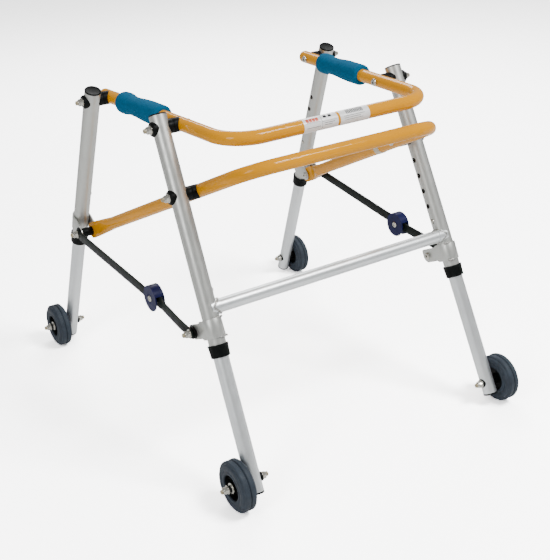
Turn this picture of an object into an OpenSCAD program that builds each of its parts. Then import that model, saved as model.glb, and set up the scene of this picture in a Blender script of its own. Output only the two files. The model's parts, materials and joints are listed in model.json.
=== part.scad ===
// Child's folding walker: two splayed front legs joined by a crossbar, two rear legs, a horizontal
// handle loop with foam grips, a sloping guard loop, knee braces and telescoping legs on wheels.
// Front of the walker is -Y, left is +X, the floor is Z = 0. Everything is drawn on the left side
// and mirrored to the right. All sizes are in millimetres.

/* [Stance] */
// Distance between the front and rear axles
wheel_base = 606; // [560:2:640]
// Distance from the middle to a front leg at axle height
front_axle_x = 219; // [210:1:230]
// Distance from the middle to a rear leg at axle height
rear_axle_x = 234.5; // [228:0.5:242]
// Forward lean of the front legs from upright, in degrees
front_lean = 26.1; // [24:0.1:28]
// Rearward lean of the rear legs from upright, in degrees
rear_lean = 21.8; // [20:0.1:23]
// Sideways splay of the front legs, in degrees
front_splay = 1.7; // [1:0.1:2.5]
// Sideways splay of the rear legs, in degrees
rear_splay = 2.2; // [1.5:0.1:3]

/* [Legs] */
// Outer diameter of the upper leg tubes
upper_leg_d = 25; // [24.8:0.1:25.4]
// Outer diameter of the lower leg tubes
lower_leg_d = 22; // [21.6:0.1:22]
// Wall thickness of the leg tubes
leg_wall = 1.2; // [1:0.1:1.2]
// Top of the front legs, measured along the leg from the axle
front_leg_top = 520; // [515:1:525]
// Top of the rear legs, measured along the leg from the axle
rear_leg_top = 500; // [495:1:505]
// Middle of the front collar, measured along the leg from the axle
front_collar_at = 185; // [180:1:190]
// Middle of the rear collar, measured along the leg from the axle
rear_collar_at = 206; // [202:1:210]
// Spacing of the height adjustment holes
hole_pitch = 25; // [24:0.5:25]
// Number of height adjustment holes in each leg
hole_count = 5; // [3:1:5]
// Lowest adjustment hole of the front legs, along the leg
front_button_at = 269; // [265:1:272]
// Lowest adjustment hole of the rear legs, along the leg
rear_button_at = 298; // [294:1:302]

/* [Loops] */
// Outer diameter of the handle and guard tubes
loop_d = 20; // [19:0.5:20]
// Wall thickness of the handle and guard tubes
loop_wall = 1.5; // [1:0.1:2]
// Height of the handle loop at its front bolts
handle_z = 487; // [480:1:490]
// How much lower the handle loop sits at its rear bolts
handle_drop = 2.6; // [0:0.2:4]
// Height of the guard loop at the front legs
guard_z = 401; // [398:1:404]
// Centreline radius of the loop bends
bend_r = 50; // [40:1:60]
// Reach of the handle loop in front of its front bolts
handle_reach = 125.5; // [110:0.5:130]
// Reach of the guard loop in front of its front bolts
guard_reach = 126.5; // [115:0.5:130]
// Length of a foam grip
grip_len = 119; // [110:1:125]
// Diameter of a foam grip at its waist
grip_d = 28.4; // [27:0.2:30]

/* [Wheels] */
// Wheel diameter
wheel_d = 75; // [72:1:78]
// Tyre width
tyre_w = 24; // [20:0.5:24]
// Diameter of the rim opening
rim_d = 40; // [36:1:44]

/* [Brace] */
// Height of the flat brace bars
bar_h = 15; // [13:0.5:16]
// Thickness of the brace bars
bar_t = 3; // [2.5:0.1:3]
// Diameter of the knee hub
hub_d = 40; // [38:1:41]
// Share of the brace length that lies behind the knee
knee_share = 0.684; // [0.66:0.002:0.7]

/* [Hidden] */
$fn = 48;

left = 1;
right = -1;
fit = 0.05;          // radial clearance of a hinge pin in its bore
gap = 0.3;           // clearance between faces that move past each other
head_gap = 0.95;     // from a bolt head to the side of a loop's tube, which slopes past it
seat = 0.02;         // clearance of a fixed piece on the tube it sits on
alu = [0.80, 0.81, 0.82];
yellow = [0.93, 0.69, 0.13];
black = [0.07, 0.07, 0.08];
zinc = [0.78, 0.76, 0.70];
navy = [0.12, 0.13, 0.30];
blue = [0.02, 0.40, 0.58];
grey = [0.32, 0.35, 0.40];
white = [0.95, 0.95, 0.93];

leg_r = upper_leg_d / 2;
shin_r = lower_leg_d / 2;
tube_r = loop_d / 2;
axle_z = wheel_d / 2;
bolt_r = 3;
axle_r = 4;
hole_r = 4;
nut_r = 5.8;         // hexagon's corner radius
saddle_r = 10.3;
saddle_out = 3;      // how far a saddle washer stands out of the leg

// Each leg is [axle point, lean, splay]; lean is positive where the top leans rearward
front = [[front_axle_x, -wheel_base / 2, axle_z], front_lean, front_splay];
rear = [[rear_axle_x, wheel_base / 2, axle_z], -rear_lean, rear_splay];

function leg_dir(leg) = [-sin(leg[2]) * cos(leg[1]), sin(leg[1]), cos(leg[2]) * cos(leg[1])];
function along_leg(leg, u) = leg[0] + u * leg_dir(leg);
function leg_at_z(leg, z) = along_leg(leg, (z - axle_z) / leg_dir(leg).z);
function beside_leg(leg, u, v) = along_leg(leg, u) + v * [0, cos(leg[1]), -sin(leg[1])];

cap_t = 2;
clamp_h = 27;
clamp_t = 2;
front_clamp_u = 217;
rear_clamp_u = 241;
front_arm = 34;      // from leg axis to brace bolt, rearward
rear_arm = -29;      // from leg axis to brace bolt, forward

handle_front = leg_at_z(front, handle_z);
handle_rear = leg_at_z(rear, handle_z - handle_drop);
guard_front = leg_at_z(front, guard_z);
brace_front = beside_leg(front, front_clamp_u, front_arm);
brace_rear = beside_leg(rear, rear_clamp_u, rear_arm);
brace_len = norm([brace_rear.y - brace_front.y, brace_rear.z - brace_front.z]);
brace_angle = atan2(brace_rear.z - brace_front.z, brace_rear.y - brace_front.y);
front_bar_len = brace_len * (1 - knee_share);
rear_bar_len = brace_len * knee_share;
knee = brace_front + front_bar_len * [0, cos(brace_angle), sin(brace_angle)];

// Handle loop in its own plane, measured from its front bolts: x of the side tubes and their slope
handle_len = norm([handle_rear.y - handle_front.y, handle_drop]);
handle_pitch = atan2(handle_drop, handle_rear.y - handle_front.y);
handle_x = 174.2;
handle_rear_x = 186.2;
handle_slope = (handle_rear_x - handle_x) / handle_len;
handle_tail = handle_len + 18;
handle_plan = [handle_x, handle_slope, handle_reach];

// Guard loop in its own sloping plane, measured from its front bolts
guard_len = norm([brace_rear.y - guard_front.y, brace_rear.z - guard_front.z]);
guard_tilt = atan2(guard_front.z - brace_rear.z, brace_rear.y - guard_front.y);
guard_x = 175;
guard_slope = 0.107;
guard_plan = [guard_x, guard_slope, guard_reach];
paddle_x = brace_rear.x - leg_r + 3.4;
paddle_t = 4.4;
paddle_r = 13;
flare_from = guard_len - 62;
flare_to = guard_len - 20;

// Planes across X where the saddles of a loop meet those of the legs
handle_face = handle_x + tube_r + 5;
handle_rear_face = handle_rear_x + tube_r + 5.6;
guard_face = guard_x + tube_r + 6;

// Planes across X where the brace, the knee hub and the ears of the clamps lie
rear_ear_x = brace_rear.x + leg_r + clamp_t;
front_ear_x = brace_front.x + leg_r + clamp_t;
bar_rear_x = rear_ear_x + 1.8;
bar_front_x = front_ear_x + 4.8;
knee_x = 223.4;
hub_w = 15.4;
hub_cover = 1.6;
bar_knee_inner = knee_x + 6.4;
bar_knee_outer = bar_knee_inner + bar_t + 0.7;

module on_side(side) {
    if (side < 0) mirror([1, 0, 0]) children();
    else children();
}

module in_leg(leg) translate(leg[0]) rotate([-leg[1], -leg[2], 0]) children();

// Frame at a point of the leg that leans with it but keeps its X level
module at_clamp(leg, u) translate(along_leg(leg, u)) rotate([-leg[1], 0, 0]) children();

module rod_x(x0, x1, r) translate([x0, 0, 0]) rotate([0, 90, 0]) cylinder(h = x1 - x0, r = r);

// Everything the leg tube fills, a little oversize, to seat other pieces on it
module leg_core(leg, extra = seat) in_leg(leg) translate([0, 0, -40]) cylinder(h = 620, r = leg_r + extra);

// Capped lock nut with its washer, standing on the plane x = 0 and pointing along +X
module acorn_nut() {
    rod_x(0, 1, 6.6);
    translate([1, 0, 0]) rotate([0, 90, 0]) cylinder(h = 4.6, r = nut_r, $fn = 6);
    rotate([0, 90, 0]) rotate_extrude() polygon([
        [0, 5], [4.6, 5], [4.6, 6.6], [4, 7.6], [3.2, 7.8], [3.1, 10], [2.6, 10.7], [1.4, 11.1], [0, 11.2]
    ]);
}

// Button head with a hex socket, its flat side on x = 0 and its crown toward -X
module button_head(r = 5.5, h = 3) {
    difference() {
        rotate([0, -90, 0]) rotate_extrude() polygon(concat(
            [[0, 0], [r, 0]],
            [for (a = [0:15:90]) [r - 1.8 + 1.8 * cos(a), h - 1.8 + 1.8 * sin(a)]],
            [[0, h]]
        ));
        rotate([0, -90, 0]) translate([0, 0, 1.2]) cylinder(h = h, r = 2.3, $fn = 6);
    }
}

// ---- legs ----

module upper_leg(leg, top, collar_at, button_at, bolt_heights) {
    difference() {
        in_leg(leg) difference() {
            translate([0, 0, collar_at - 6]) cylinder(h = top - cap_t - collar_at + 6, r = leg_r);
            translate([0, 0, collar_at - 7]) cylinder(h = top, r = leg_r - leg_wall);
            for (i = [0:hole_count - 1])
                translate([0, 0, button_at + i * hole_pitch]) rod_x(-leg_r - 1, 0, hole_r);
        }
        for (z = bolt_heights) translate(leg_at_z(leg, z)) rod_x(-20, 20, bolt_r + fit);
    }
}

module front_leg(side)
    color(alu) on_side(side)
        upper_leg(front, front_leg_top, front_collar_at, front_button_at, [handle_z, guard_z]);

module rear_leg(side)
    color(alu) on_side(side)
        upper_leg(rear, rear_leg_top, rear_collar_at, rear_button_at, [handle_rear.z]);

// Plug in the top of an upper leg, with a flange flush with the tube and a sunken face
module leg_cap(top) translate([0, 0, top]) rotate_extrude() polygon([
    [0, -14], [leg_r - leg_wall - seat, -14], [leg_r - leg_wall - seat, -cap_t], [leg_r + 0.2, -cap_t],
    [leg_r + 0.2, -0.8], [leg_r - 0.6, 0], [leg_r - 1.4, 0], [leg_r - 2.2, -0.7], [0, -0.7]
]);

// Bush at the foot of an upper leg, with a lip that guides the lower leg
module leg_collar(at) {
    translate([0, 0, at - 9]) rotate_extrude() polygon([
        [shin_r + gap, 0], [leg_r + 0.7, 0], [leg_r + 1.3, 0.6], [leg_r + 2, 16], [leg_r + 2.5, 16.6],
        [leg_r + 2.5, 17.4], [leg_r + 2, 18], [leg_r + seat, 18], [leg_r + seat, 3 - seat],
        [shin_r + gap, 3 - seat]
    ]);
}

// Saddle on the inner side of a leg and a saddle washer on its outer side, round one bolt
module leg_saddles(leg, z, inner_x) {
    p = leg_at_z(leg, z);
    difference() {
        translate([0, p.y, p.z]) {
            rod_x(inner_x, p.x, saddle_r);
            translate([p.x, 0, 0]) rotate([0, 90, 0]) rotate_extrude()
                polygon([
                    [0, 0], [saddle_r, 0], [saddle_r, leg_r + 1],
                    [8.8, leg_r + saddle_out], [0, leg_r + saddle_out]
                ]);
        }
        leg_core(leg);
        translate([0, p.y, p.z]) rod_x(inner_x - 1, p.x + 30, bolt_r + fit);
    }
}

module front_fittings() color(black) for (side = [left, right]) on_side(side) {
    in_leg(front) {
        leg_cap(front_leg_top);
        leg_collar(front_collar_at);
    }
    leg_saddles(front, handle_z, handle_face);
    leg_saddles(front, guard_z, guard_face);
    translate([0, brace_front.y, brace_front.z]) difference() {
        rod_x(front_ear_x + seat, bar_front_x - gap, 9);
        rod_x(front_ear_x - 1, bar_front_x + 1, bolt_r + fit);
    }
}

module rear_fittings(side) color(black) on_side(side) {
    in_leg(rear) {
        leg_cap(rear_leg_top);
        leg_collar(rear_collar_at);
    }
    leg_saddles(rear, handle_rear.z, handle_rear_face);
    translate([0, brace_rear.y, brace_rear.z]) difference() {
        union() {
            rod_x(paddle_x + paddle_t / 2 + gap, brace_rear.x + leg_r - seat, 7.5);
            rod_x(rear_ear_x + seat, bar_rear_x - gap, 10.5);
        }
        rod_x(paddle_x, bar_rear_x, bolt_r + fit);
    }
}

// U-bracket round a leg: its ears have the outline drawn by the children, in the plane of the lean
module clamp(leg, u, arm) {
    way = sign(arm);
    difference() {
        at_clamp(leg, u) {
            cylinder(h = clamp_h, r = leg_r + clamp_t, center = true);
            for (x = [-leg_r - clamp_t, leg_r]) translate([x, 0, 0]) rotate([90, 0, 90])
                linear_extrude(clamp_t) children();
        }
        leg_core(leg);
        at_clamp(leg, u) {
            translate([-leg_r, way > 0 ? 0 : arm - 20, -clamp_h])
                cube([2 * leg_r, abs(arm) + 20, 2 * clamp_h]);
            translate([0, arm, 0]) rod_x(-30, 30, bolt_r + fit);
        }
    }
}

// Ear that reaches rearward, with a small round corner above and a large one below
module front_ear() {
    top = clamp_h / 2 - 2.5;
    tip = front_arm + 11;
    low = -clamp_h / 2 + 2.5;
    big = 11;
    small = 3.5;
    polygon([
        [0, -clamp_h / 2], [0, clamp_h / 2], [9, clamp_h / 2], [13, top], [tip - small, top],
        [tip, top - small], [tip, low + big], [tip - big, low], [13, low], [9, -clamp_h / 2]
    ]);
    translate([tip - small, top - small]) circle(small);
    translate([tip - big, low + big]) circle(big);
}

// Ear that reaches forward and narrows to the bolt, more from above than from below
module rear_ear() {
    tip_r = 9;
    polygon([
        [0, -clamp_h / 2], [0, clamp_h / 2], [-9, clamp_h / 2], [rear_arm - 4, tip_r - 1],
        [rear_arm, -tip_r], [-12, -clamp_h / 2 + 1], [-9, -clamp_h / 2]
    ]);
    translate([rear_arm, 0]) circle(tip_r);
}

module front_clamp(side) color(alu) on_side(side) clamp(front, front_clamp_u, front_arm) front_ear();

module rear_clamp(side) color(alu) on_side(side) clamp(rear, rear_clamp_u, rear_arm) rear_ear();

// Crossbar between the front legs, with a weld bead at each end
crossbar_z = 258;
module crossbar() color(alu) difference() {
    p = leg_at_z(front, crossbar_z) - [0, 3, 0];
    translate([0, p.y, p.z]) {
        rod_x(-p.x, p.x, tube_r);
        for (x = [-p.x, p.x]) rod_x(x - leg_r - 2.4, x + leg_r + 2.4, tube_r + 1.2);
    }
    translate([0, p.y, p.z]) rod_x(-p.x - 20, p.x + 20, tube_r - loop_wall);
    for (side = [left, right]) on_side(side) {
        leg_core(front);
        translate([p.x, p.y - 20, p.z - 20]) cube([40, 40, 40]);
    }
}

// Bolt across X through the point p, with its head's flat side at x0 and its nut on x1
module bolt(p, x0, x1) translate([0, p.y, p.z]) {
    translate([x0, 0, 0]) button_head();
    rod_x(x0, x1 + 1, bolt_r);
    translate([x1, 0, 0]) acorn_nut();
}

// The brace bolt ends inside its spacer, where the front pivot of the brace is left open
module front_bolts() color(zinc) for (side = [left, right]) on_side(side) {
    bolt(handle_front, handle_x - tube_r - head_gap, handle_front.x + leg_r + saddle_out);
    bolt(guard_front, guard_x - tube_r - head_gap, guard_front.x + leg_r + saddle_out);
    head = brace_front.x - leg_r - clamp_t;
    translate([0, brace_front.y, brace_front.z]) {
        translate([head, 0, 0]) button_head();
        rod_x(head, bar_front_x - gap, bolt_r);
    }
}

// Brace bolt, and the outer part of the handle bolt: the inner part turns with the handle
module rear_bolts(side) color(zinc) on_side(side) {
    bolt(brace_rear, brace_rear.x - leg_r - clamp_t, bar_rear_x + bar_t + gap);
    translate([0, handle_rear.y, handle_rear.z]) {
        rod_x(handle_rear_face, handle_rear.x + leg_r + saddle_out + 1, bolt_r);
        translate([handle_rear.x + leg_r + saddle_out, 0, 0]) acorn_nut();
    }
}

// ---- loops ----

// Half outline of a loop in its own plane: +Y is forward, plan is [x, slope, reach]
function bend_centre(plan) =
    let (a = atan(plan[1]), y = plan[2] - bend_r) [plan[0] - plan[1] * y - bend_r / cos(a), y];

module ring(r, wall) difference() {
    circle(r);
    circle(r - wall);
}

module loop_half(plan, tail) {
    a = atan(plan[1]);
    c = bend_centre(plan);
    translate([c.x, c.y, 0]) rotate([0, 0, a]) {
        rotate_extrude(angle = 90 - a) translate([bend_r, 0]) ring(tube_r, loop_wall);
        translate([bend_r, 0, 0]) rotate([90, 0, 0]) linear_extrude((c.y + bend_r * sin(a) + tail) / cos(a))
            ring(tube_r, loop_wall);
    }
}

// The front run meets each bend in a hairline joint, backed by a sleeve inside the tube
module loop_tube(plan, tail) {
    hairline = 0.01;
    sleeve_len = 7;
    c = bend_centre(plan);
    run = 2 * (c.x - hairline);
    for (side = [left, right]) on_side(side) {
        loop_half(plan, tail);
        translate([c.x - sleeve_len / 2, plan[2], 0]) rotate([90, 0, 90]) linear_extrude(sleeve_len)
            ring(tube_r - loop_wall + 0.4, 1.4);
    }
    translate([-run / 2, plan[2], 0]) rotate([90, 0, 90]) linear_extrude(run) ring(tube_r, loop_wall);
}

module handle_place() translate([0, handle_front.y, handle_z]) rotate([handle_pitch, 0, 180]) children();

module guard_place() translate([0, guard_front.y, guard_z]) rotate([guard_tilt, 0, 180]) children();

module handle_loop() color(yellow) difference() {
    handle_place() loop_tube(handle_plan, handle_tail);
    for (side = [left, right]) on_side(side) {
        translate([0, handle_front.y, handle_z]) rod_x(handle_x - 20, handle_x + 20, bolt_r + fit);
        translate([0, handle_rear.y, handle_rear.z])
            rod_x(handle_rear_x - 20, handle_rear_x + 20, bolt_r + seat);
    }
}

// One flattened end of the guard tube, spreading into an upright paddle round the brace bolt
module guard_paddle() {
    tube_end = guard_x + guard_slope * flare_from;
    hull() {
        translate([tube_end, -flare_from, 0]) rotate([90, 0, atan(guard_slope)]) translate([0, 0, -3])
            cylinder(h = 3.5, r = tube_r + 0.2, $fn = 32);
        translate([paddle_x - paddle_t / 2, -flare_to - 1, -paddle_r]) cube([paddle_t, 1, 2 * paddle_r]);
    }
    translate([paddle_x - paddle_t / 2, -guard_len, -paddle_r]) cube([paddle_t, 20, 2 * paddle_r]);
    translate([paddle_x, -guard_len, 0]) rod_x(-paddle_t / 2, paddle_t / 2, paddle_r);
}

// Guard tube with its flattened ends
module guard_loop() color(yellow) difference() {
    guard_place() {
        loop_tube(guard_plan, flare_from);
        for (side = [left, right]) on_side(side) guard_paddle();
    }
    for (side = [left, right]) on_side(side) {
        translate([0, guard_front.y, guard_z]) rod_x(guard_x - 20, guard_x + 20, bolt_r + fit);
        translate([0, brace_rear.y, brace_rear.z]) rod_x(paddle_x - 10, paddle_x + 10, bolt_r + fit);
    }
}

// Foam sleeve, fuller at its ends than at its waist, between the two bolts of one side tube
grip_from = 47.5;
module grip(side) color(blue) handle_place() on_side(-side) {
    r = grip_d / 2;
    translate([handle_x + handle_slope * grip_from, -grip_from, 0]) rotate([90, 0, atan(handle_slope)])
        rotate_extrude() polygon(concat(
            [[tube_r + seat, 0], [r - 1, 0], [r + 1, 2], [r + 2, 6], [r + 2.2, 14], [r + 2, 40], [r + 1, 62]],
            [[r, grip_len - 34], [r + 0.8, grip_len - 25], [r + 2.4, grip_len - 13], [r + 2.2, grip_len - 6]],
            [[r + 1, grip_len - 2], [r - 1, grip_len], [tube_r + seat, grip_len]]
        ));
}

// Saddle that seats on a side tube and faces the leg's own saddle
module tube_saddle(x, slope, face_x) difference() {
    rod_x(x, face_x, saddle_r);
    translate([x, 0, 0]) rotate([90, 0, -atan(slope)]) cylinder(h = 60, r = tube_r + 0.5, center = true);
    rod_x(x, face_x + 1, bolt_r + fit);
}

module handle_fittings() color(black) {
    for (side = [left, right]) on_side(side) {
        translate([0, handle_front.y, handle_z]) rotate([-handle_pitch, 0, 0])
            tube_saddle(handle_x, handle_slope, handle_face - gap);
        translate([0, handle_rear.y, handle_rear.z]) rotate([-handle_pitch, 0, 0])
            tube_saddle(handle_rear_x, handle_slope, handle_rear_face - gap);
    }
    handle_place() for (side = [left, right]) on_side(side)
        translate([handle_x + handle_slope * handle_tail, -handle_tail, 0])
            rotate([90, 0, atan(handle_slope)]) {
                translate([0, 0, -8]) cylinder(h = 8, r = tube_r - loop_wall - seat);
                rotate_extrude() polygon([[0, 0], [tube_r, 0], [tube_r - 0.4, 1.4], [tube_r - 2.5, 2.6], [0, 3]]);
            }
}

// Sticker of two panels that wraps the front of the handle loop: each starts at an x and has a length
label_panels = [[-50.5, 50], [3.5, 56]];
module label() color(white)
    handle_place() translate([0, handle_reach, 0]) for (panel = label_panels)
        translate([panel[0], 0, 0]) rotate([0, 90, 0]) rotate([0, 0, 35]) rotate_extrude(angle = 150)
            translate([tube_r + seat, 0]) square([0.25, panel[1]]);

// Inner parts of the two rear handle bolts, which end at the faces of the saddles
module handle_bolts() color(zinc) for (side = [left, right]) on_side(side)
    translate([0, handle_rear.y, handle_rear.z]) {
        translate([handle_rear_x - tube_r - head_gap, 0, 0]) button_head();
        rod_x(handle_rear_x - tube_r - head_gap, handle_rear_face - gap, bolt_r);
    }

module guard_fittings() color(black) for (side = [left, right]) on_side(side)
    translate([0, guard_front.y, guard_z]) rotate([-guard_tilt, 0, 0])
        tube_saddle(guard_x, guard_slope, guard_face - gap);

// Clear plastic band round each side tube of the guard
band_at = 45;
band_w = 15;
module guard_bands() color([0.85, 0.82, 0.74, 0.8]) guard_place() for (side = [left, right]) on_side(side) {
    a = atan(guard_slope);
    translate([guard_x + guard_slope * band_at, -band_at, 0]) rotate([90, 0, a]) difference() {
        cylinder(h = band_w, r = tube_r + 0.7);
        translate([0, 0, -1]) cylinder(h = band_w + 2, r = tube_r + seat);
    }
}

// ---- brace ----

// Frame at a brace pivot with +Y along the brace toward the rear
module along_brace(p) translate([0, p.y, p.z]) rotate([brace_angle, 0, 0]) children();

// Flat bar between two bolts: its inner face is at x0 round the first and slants to x1 before the second
module flat_bar(len, x0, x1, bore0, bore1) difference() {
    bend = 34;
    intersection() {
        translate([0, 0, -bar_h]) linear_extrude(2 * bar_h) polygon([
            [x0, -20], [x0, bend], [x1, len - 20], [x1, len + 20],
            [x1 + bar_t, len + 20], [x1 + bar_t, len - 20], [x0 + bar_t, bend], [x0 + bar_t, -20]
        ]);
        rotate([90, 0, 90]) linear_extrude(300) {
            translate([0, -bar_h / 2]) square([len, bar_h]);
            for (y = [0, len]) translate([y, 0]) circle(bar_h / 2);
        }
    }
    rod_x(x0 - 5, x0 + 9, bore0);
    translate([0, len, 0]) rod_x(x1 - 5, x1 + 9, bore1);
}

module brace_front_bar(side) color(black) on_side(side) along_brace(brace_front)
    flat_bar(front_bar_len, bar_front_x, bar_knee_inner, bolt_r + fit, bolt_r + fit);

// Nut of the front bar's end, with the stub of bolt that fills the bar's hole
module brace_nut(side) color(zinc) on_side(side) along_brace(brace_front) {
    rod_x(bar_front_x, bar_front_x + bar_t + 1, bolt_r);
    translate([bar_front_x + bar_t, 0, 0]) acorn_nut();
}

module brace_rear_bar(side) color(black) on_side(side) along_brace(knee)
    flat_bar(rear_bar_len, bar_knee_outer, bar_rear_x, bolt_r + seat, bolt_r + fit);

// Drum round the knee: two covers and a wall on the upper side only, open below for the front bar
module knee_hub(side) color(navy) on_side(side) along_brace(knee) difference() {
    union() {
        rod_x(knee_x, knee_x + hub_cover, hub_d / 2);
        rod_x(knee_x + hub_w - hub_cover, knee_x + hub_w, hub_d / 2);
        translate([knee_x + 1, 0, 0]) rotate([90, 0, 90]) rotate([0, 0, 20]) rotate_extrude(angle = 132)
            translate([hub_d / 2 - 2, 0]) square([2, hub_w - 2]);
    }
    translate([bar_knee_outer - seat, 0, -bar_h / 2 - seat]) cube([bar_t + 2 * seat, 40, bar_h + 2 * seat]);
    rod_x(knee_x - 1, knee_x + hub_w + 1, bolt_r + seat);
    rod_x(knee_x - 1, knee_x + 0.8, 7);
    rod_x(knee_x + hub_w - 0.8, knee_x + hub_w + 1, 7);
}

// Knee pin with a button head at each end
module knee_bolt(side) color(zinc) on_side(side) along_brace(knee) {
    rod_x(knee_x + 0.8, knee_x + hub_w - 0.8, bolt_r);
    translate([knee_x + 0.8, 0, 0]) button_head(5, 2.2);
    translate([knee_x + hub_w - 0.8, 0, 0]) mirror([1, 0, 0]) button_head(5, 2.2);
}

// ---- lower legs and wheels ----

// Each lower leg is [leg, bottom, button height, tube top]
shin_front = [front, -18, front_button_at, front_button_at + 20];
shin_rear = [rear, -26, rear_button_at, rear_button_at + 20];

module lower_leg(shin, side) color(alu) on_side(side) difference() {
    in_leg(shin[0]) difference() {
        translate([0, 0, shin[1]]) cylinder(h = shin[3] - shin[1], r = shin_r);
        translate([0, 0, shin[1] - 1]) cylinder(h = shin[3] - shin[1] + 2, r = shin_r - leg_wall);
        translate([0, 0, shin[2]]) rod_x(-shin_r - 1, 0, hole_r);
    }
    translate(shin[0][0]) rod_x(-20, 20, axle_r + seat);
}

// Plug in the foot of the tube, and the washers between the tube, the wheel and the nut
module foot(shin, side) color(black) on_side(side) {
    in_leg(shin[0]) translate([0, 0, shin[1]]) {
        translate([0, 0, -2.6]) cylinder(h = 2.6, r = shin_r);
        cylinder(h = 9, r = shin_r - leg_wall - seat);
    }
    difference() {
        translate(shin[0][0]) {
            rod_x(0, shin_r + 1.9, 8);
            rod_x(-shin_r - 1.8, 0, 7);
        }
        in_leg(shin[0]) translate([0, 0, -30]) cylinder(h = 60, r = shin_r + seat);
        translate(shin[0][0]) rod_x(-20, 20, axle_r + seat);
    }
}

wheel_in = shin_r + 1.8;         // inner face of the wheel, from the leg's axis
hub_out = wheel_in + 20;         // outer end of the rim's hub

// Axle bolt with an acorn nut on each end and a lock nut outside the wheel
module axle(shin, side) color(zinc) on_side(side) translate(shin[0][0]) {
    rod_x(-shin_r - 3, hub_out + 9, axle_r);
    translate([-shin_r - 1.8, 0, 0]) mirror([1, 0, 0]) acorn_nut();
    rod_x(hub_out + gap, hub_out + 3, 8);
    translate([hub_out + 3, 0, 0]) rotate([0, 90, 0]) cylinder(h = 5, r = nut_r, $fn = 6);
    translate([hub_out + 8, 0, 0]) acorn_nut();
}

// Domed button that locks the lower leg, standing out of both tubes on the inner side
module snap_button(shin, side) color(zinc) on_side(side) in_leg(shin[0]) translate([0, 0, shin[2]])
    rotate([0, -90, 0]) rotate_extrude() polygon(concat(
        [[0, shin_r - 4.3], [5, shin_r - 4.3], [5, shin_r - 3.3], [hole_r - gap, shin_r - 2.6]],
        [for (a = [0:18:72]) [(hole_r - gap) * cos(a), leg_r - 0.6 + 2.6 * sin(a)]],
        [[0, leg_r + 2]]
    ));

// Frame of a wheel, with +Z along the axle and Z = 0 at the wheel's inner face
module at_wheel(shin) translate(shin[0][0] + [wheel_in, 0, 0]) rotate([90, 0, 90]) children();

// Moulded rim: a hub, a web, a felly and thin spokes
spokes = 5;
module rim(shin, side) color(black) on_side(side) at_wheel(shin) difference() {
    union() {
        rotate_extrude() polygon([
            [axle_r + fit, 0.5], [9, 0.5], [9, 8], [rim_d / 2 - 1, 8], [rim_d / 2 - 1, 3],
            [rim_d / 2 + 3, 3], [rim_d / 2 + 3, tyre_w - 3], [rim_d / 2 - 1, tyre_w - 3],
            [rim_d / 2 - 1, 11], [9, 11], [9, 20], [axle_r + fit, 20]
        ]);
        for (i = [0:spokes - 1]) rotate([0, 0, i * 360 / spokes]) translate([8, -1.2, 3])
            cube([rim_d / 2 - 8, 2.4, 15]);
    }
    translate([0, 0, -1]) cylinder(h = 40, r = axle_r + fit);
}

// Soft tyre with a groove between two ribs and a sunken shoulder on each side
module tyre(shin, side) color(grey) on_side(side) at_wheel(shin) {
    r = wheel_d / 2;
    half = tyre_w / 2;
    inner = rim_d / 2 + 3 + seat;
    lip = rim_d / 2;
    profile = [
        [inner, 3 - seat], [lip, 3 - seat], [lip, 0.8], [lip + 4, 0], [r - 6, 0.3], [r - 2.6, 1.6],
        [r - 1, 4], [r - 0.9, 5.2], [r - 0.2, 5.8], [r, 7.4], [r, 10.2], [r - 0.5, 11.2], [r - 1.8, half]
    ];
    mirrored = [for (i = [len(profile) - 1:-1:0]) [profile[i].x, tyre_w - profile[i].y]];
    rotate_extrude() polygon(concat(profile, mirrored));
}

front_leg(left);  // front_leg_left
front_leg(right);  // front_leg_right
crossbar();
front_clamp(left);  // front_clamp_left
front_clamp(right);  // front_clamp_right
front_fittings();
front_bolts();
handle_loop();
grip(left);  // grip_left
grip(right);  // grip_right
handle_fittings();
handle_bolts();
label();
guard_loop();
guard_fittings();
guard_bands();
rear_leg(left);  // rear_leg_left
rear_leg(right);  // rear_leg_right
rear_clamp(left);  // rear_clamp_left
rear_clamp(right);  // rear_clamp_right
rear_fittings(left);  // rear_fittings_left
rear_fittings(right);  // rear_fittings_right
rear_bolts(left);  // rear_bolts_left
rear_bolts(right);  // rear_bolts_right
brace_front_bar(left);  // brace_front_left
brace_front_bar(right);  // brace_front_right
brace_nut(left);  // brace_nut_left
brace_nut(right);  // brace_nut_right
brace_rear_bar(left);  // brace_rear_left
brace_rear_bar(right);  // brace_rear_right
knee_hub(left);  // knee_hub_left
knee_hub(right);  // knee_hub_right
knee_bolt(left);  // knee_bolt_left
knee_bolt(right);  // knee_bolt_right
lower_leg(shin_front, left);  // lower_leg_front_left
lower_leg(shin_front, right);  // lower_leg_front_right
lower_leg(shin_rear, left);  // lower_leg_rear_left
lower_leg(shin_rear, right);  // lower_leg_rear_right
foot(shin_front, left);  // foot_front_left
foot(shin_front, right);  // foot_front_right
foot(shin_rear, left);  // foot_rear_left
foot(shin_rear, right);  // foot_rear_right
axle(shin_front, left);  // axle_front_left
axle(shin_front, right);  // axle_front_right
axle(shin_rear, left);  // axle_rear_left
axle(shin_rear, right);  // axle_rear_right
snap_button(shin_front, left);  // snap_front_left
snap_button(shin_front, right);  // snap_front_right
snap_button(shin_rear, left);  // snap_rear_left
snap_button(shin_rear, right);  // snap_rear_right
rim(shin_front, left);  // rim_front_left
rim(shin_front, right);  // rim_front_right
rim(shin_rear, left);  // rim_rear_left
rim(shin_rear, right);  // rim_rear_right
tyre(shin_front, left);  // tyre_front_left
tyre(shin_front, right);  // tyre_front_right
tyre(shin_rear, left);  // tyre_rear_left
tyre(shin_rear, right);  // tyre_rear_right
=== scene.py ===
"""The looks of a child's folding walker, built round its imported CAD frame.

Front is -Y, the walker's left is +X, and the floor is Z = 0. Sizes are in metres.
"""

import json
import math

import bmesh
import bpy
import numpy as np
from mathutils import Matrix, Vector, noise


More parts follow.
